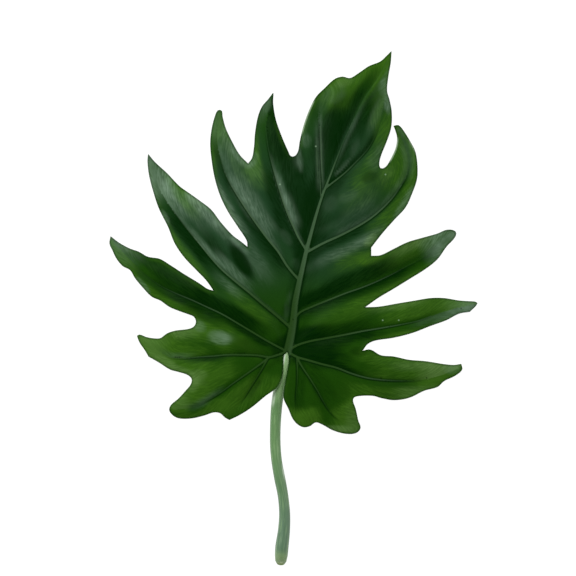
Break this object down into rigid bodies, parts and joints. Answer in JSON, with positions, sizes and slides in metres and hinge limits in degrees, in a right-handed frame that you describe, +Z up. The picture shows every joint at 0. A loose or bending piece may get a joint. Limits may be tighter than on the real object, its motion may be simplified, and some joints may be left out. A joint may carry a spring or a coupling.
{
  "type": "philodendron leaf",
  "caption": "Cut philodendron leaf lying face up: a dark green, deeply lobed blade with impressed veins and ribs underneath, on a pale green cut stalk.",
  "frame": {"origin": "centre of the leaf's box, on the surface that it lies on", "axes": "+Y towards the tip of the middle lobe, +X to the right seen from above, +Z up from the upper face"},
  "size_m": [0.2209, 0.3082, 0.0217],
  "materials": {
    "blade": "waxy satin, dark green, with paler veins and yellower edges",
    "stalk": "smooth satin, pale grey-green"
  },
  "bodies": {
    "root": {"blade": "blade", "stalk": "stalk"}
  },
  "joints": []
}
